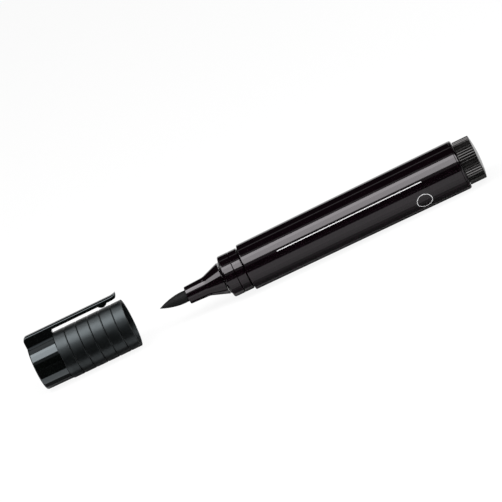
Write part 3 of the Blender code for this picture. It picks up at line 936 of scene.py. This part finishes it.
def build_cards():
    papers = {name: card_paper(name + "_card", shade) for name, shade in CARD_SHADES.items()}
    level = FLOOR_LEVEL + CARD_LIFT
    for name, (left, right), (near, far), shade in CARDS:
        corners = ((left, near), (right, near), (right, far), (left, far))
        reflection_card(name, corners, level, papers[shade])

    line_near, line_far = LINE_FRONT_Y
    cone_line = ((LINE_REAR_X, LINE_REAR_Y[0]), (LINE_REAR_X, LINE_REAR_Y[1]),
                 (LINE_FRONT_X, line_far), (LINE_FRONT_X, line_near))
    tube_edge = ((NOZZLE_CARD_X, line_near), (LINE_FRONT_X, line_near),
                 (LINE_FRONT_X, NOZZLE_CARD_Y), (NOZZLE_CARD_X, NOZZLE_CARD_Y))
    # Painted shade seen only in the gloss: the cone's dark line and the nozzle's dark lower edge
    reflection_card("card_cone_line", cone_line, level + CARD_LIFT, papers["black"])
    reflection_card("card_tube_edge", tube_edge, level + CARD_LIFT, papers["black"])


def area_lamp(name, elevations, distance, ends, radiance, in_gloss=True):
    """Softbox along X between two ends, over a span of elevations seen from the pen, turned to face it."""
    low, high = elevations
    middle = math.radians((low + high) / 2)
    height = 2 * distance * math.tan(math.radians(high - low) / 2)
    lamp = bpy.data.lights.new(name, "AREA")
    lamp.shape = "RECTANGLE"
    lamp.size = ends[1] - ends[0]
    lamp.size_y = height
    lamp.energy = math.pi * lamp.size * height * radiance
    item = bpy.data.objects.new(name, lamp)
    bpy.context.scene.collection.objects.link(item)
    across = Vector((1.0, 0.0, 0.0))
    back = Vector((0.0, -math.cos(middle), math.sin(middle)))
    place = back * distance + across * (ends[0] + ends[1]) / 2
    item.matrix_world = basis(across, back.cross(across), back, place)
    item.visible_camera = False
    item.visible_glossy = in_gloss
    return item


def aim_light(lamps, piece, state):
    """Lamps that light one piece alone (INCLUDE) or every piece but that one (EXCLUDE)."""
    receivers = bpy.data.collections.new("light_" + state.lower())
    receivers.objects.link(piece)
    receivers.collection_objects[0].light_linking.link_state = state
    for lamp in lamps:
        lamp.light_linking.receiver_collection = receivers


def basis(right, up, back, place):
    matrix = Matrix((right, up, back)).transposed().to_4x4()
    matrix.translation = place
    return matrix


def build_light(sleeve):
    shared = [area_lamp(*lamp) for lamp in SHARED_LAMPS]
    sleeve_lamps = [area_lamp(*lamp) for lamp in SLEEVE_LAMPS]
    aim_light(shared, sleeve, "EXCLUDE")
    aim_light(sleeve_lamps, sleeve, "INCLUDE")
    area_lamp(*FILL_LAMP, in_gloss=False)
    world = bpy.data.worlds.new("studio")
    world.use_nodes = True
    background = world.node_tree.nodes["Background"]
    background.inputs["Color"].default_value = (WORLD_SHADE, WORLD_SHADE, WORLD_SHADE, 1.0)
    bpy.context.scene.world = world


def build_camera():
    across_floor = math.cos(CAMERA_ELEVATION)
    back = Vector((math.sin(CAMERA_AZIMUTH) * across_floor, -math.cos(CAMERA_AZIMUTH) * across_floor,
                   math.sin(CAMERA_ELEVATION)))
    along = Vector((1.0, 0.0, 0.0))
    along = (along - along.dot(back) * back).normalized()
    above = back.cross(along)
    right = math.cos(CAMERA_ROLL) * along - math.sin(CAMERA_ROLL) * above
    up = math.sin(CAMERA_ROLL) * along + math.cos(CAMERA_ROLL) * above
    target = Vector((CAMERA_AIM_X, 0.0, AXIS_HEIGHT)) + above * CAMERA_AIM_ABOVE_AXIS
    lens = bpy.data.cameras.new("photo_camera")
    lens.lens = CAMERA_LENS
    lens.sensor_width = CAMERA_SENSOR
    lens.clip_start = CAMERA_NEAR
    lens.clip_end = CAMERA_FAR
    camera = bpy.data.objects.new("photo_camera", lens)
    bpy.context.scene.collection.objects.link(camera)
    camera.matrix_world = basis(right, up, back, target + back * CAMERA_DISTANCE)
    bpy.context.scene.camera = camera


def main():
    bpy.context.scene.view_settings.view_transform = "Standard"
    pen_black = gloss_plastic(
        "pen_gloss_black", dark=(0.0014, 0.0004, 0.0010), light=(0.0020, 0.0007, 0.0014),
        tint=(1.0, 0.95, 0.99), smooth=0.05, rough=0.09)
    cap_black = gloss_plastic(
        "cap_gloss_black", dark=(0.0005, 0.0007, 0.0006), light=(0.0009, 0.0012, 0.0010),
        tint=(0.84, 0.945, 1.0), smooth=0.06, rough=0.10)
    sleeve_satin = satin_plastic(
        "sleeve_satin", dark=(0.0010, 0.0012, 0.0012), light=(0.0018, 0.0021, 0.0021),
        tint=(0.84, 0.95, 1.0), smooth=0.35, rough=0.40, grain_scale=6000)
    # Painted shade: the sleeve's satin with almost no reflection, for its flat rims and groove bottoms
    rim_and_groove_shade = satin_plastic(
        "rim_and_groove_shade", dark=(0.0010, 0.0012, 0.0012), light=(0.0018, 0.0021, 0.0021),
        tint=(0.84, 0.95, 1.0), smooth=0.5, rough=0.6, grain_scale=6000, gloss=0.03)
    plug_satin = satin_plastic(
        "plug_satin", dark=(0.0022, 0.0019, 0.0019), light=(0.0034, 0.0030, 0.0030),
        tint=(1.0, 0.97, 0.97), smooth=0.19, rough=0.26, grain_scale=5000)
    seal = satin_plastic(
        "seal_black", dark=(0.004, 0.004, 0.004), light=(0.006, 0.006, 0.006),
        tint=(1.0, 1.0, 1.0), smooth=0.42, rough=0.5, grain_scale=4000)
    nib_felt = felt(
        "nib_felt", dark=(0.0028, 0.0028, 0.0030), light=(0.0056, 0.0056, 0.0060), along=300.0)
    inked = felt("inked_fibre", dark=(0.006, 0.006, 0.007), light=(0.014, 0.014, 0.016), along=120.0)
    film = clear_film("film_wrap")
    ink = print_ink("print_white")

    build_barrel(pen_black)
    build_front_section(pen_black)
    build_nib(nib_felt)
    build_end_plug(plug_satin)
    build_rule(ink)
    build_ring(ink)
    build_crown(cap_black)
    build_clip(cap_black)
    sleeve = build_sleeve(sleeve_satin, rim_and_groove_shade)
    build_inner_cap(seal)

    # The reservoir and its wrap stay as the frame has them
    for node, material in (("ink_reservoir", inked), ("reservoir_wrap", film)):
        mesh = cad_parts[node].data
        mesh.materials.clear()
        mesh.materials.append(material)

    build_floor()
    build_cards()
    build_light(sleeve)
    build_camera()


main()
